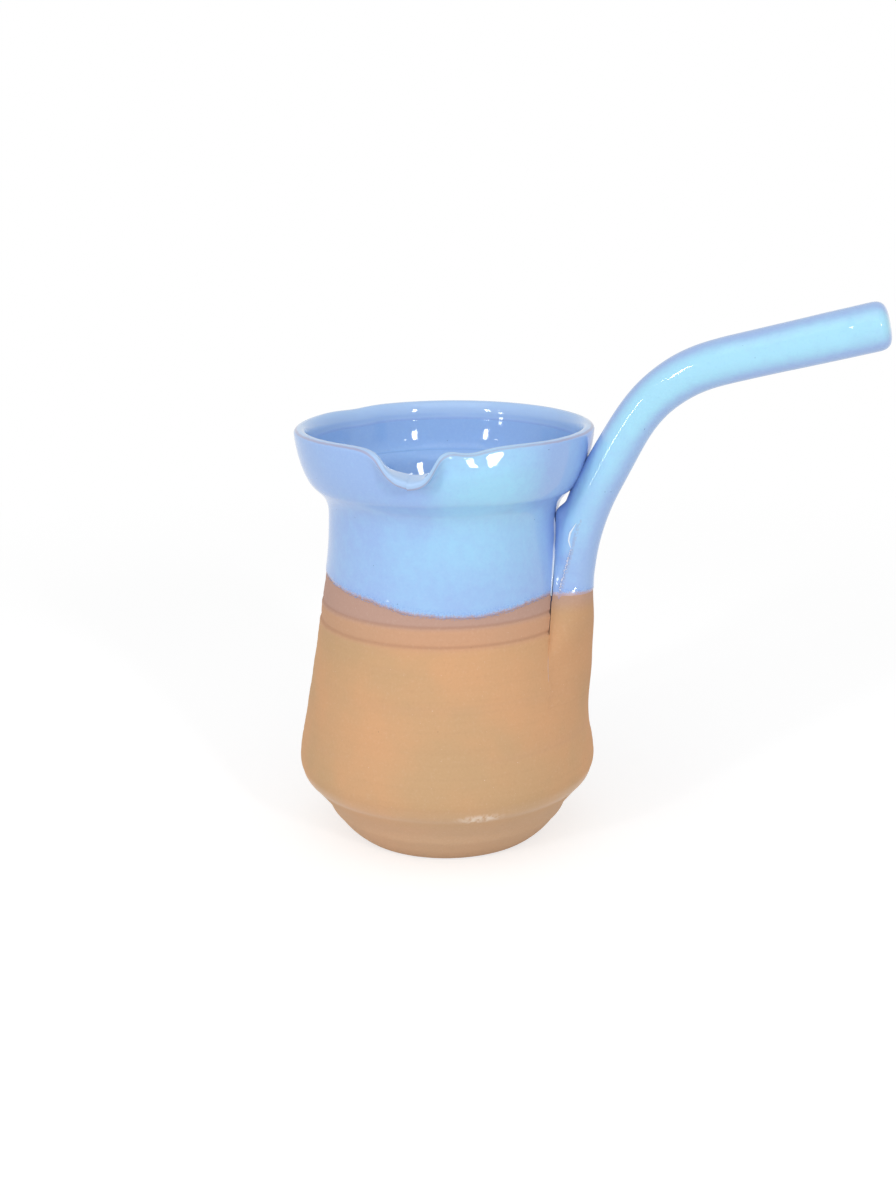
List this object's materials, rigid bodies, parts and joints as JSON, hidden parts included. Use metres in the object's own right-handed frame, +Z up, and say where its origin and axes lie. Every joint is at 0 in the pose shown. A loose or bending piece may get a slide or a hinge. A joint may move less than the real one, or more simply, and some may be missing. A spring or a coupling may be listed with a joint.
{
  "type": "turkish coffee pot",
  "caption": "Small thrown clay coffee pot with a flanged rim, a pinched pouring lip and a long rising rod handle, glazed over its top half and inside.",
  "frame": {"origin": "middle of the flat foot, on the surface that the pot stands on", "axes": "+Z up along the pot's axis, +X towards the handle's tip, the pouring lip near -Y"},
  "size_m": [0.1572, 0.0838, 0.1489],
  "materials": {
    "bare_clay": "matt fired terracotta with fine throwing lines",
    "luting_clay": "matt fired slip, thumbed smooth",
    "liner_glaze": "glossy light blue glaze",
    "dip_glaze": "glossy light blue glaze with small pinholes"
  },
  "bodies": {
    "root": {"pot_body": "bare_clay", "handle": "bare_clay", "luting_clay": "luting_clay", "liner_glaze": "liner_glaze", "dip_glaze": "dip_glaze", "handle_glaze": "dip_glaze"}
  },
  "joints": []
}
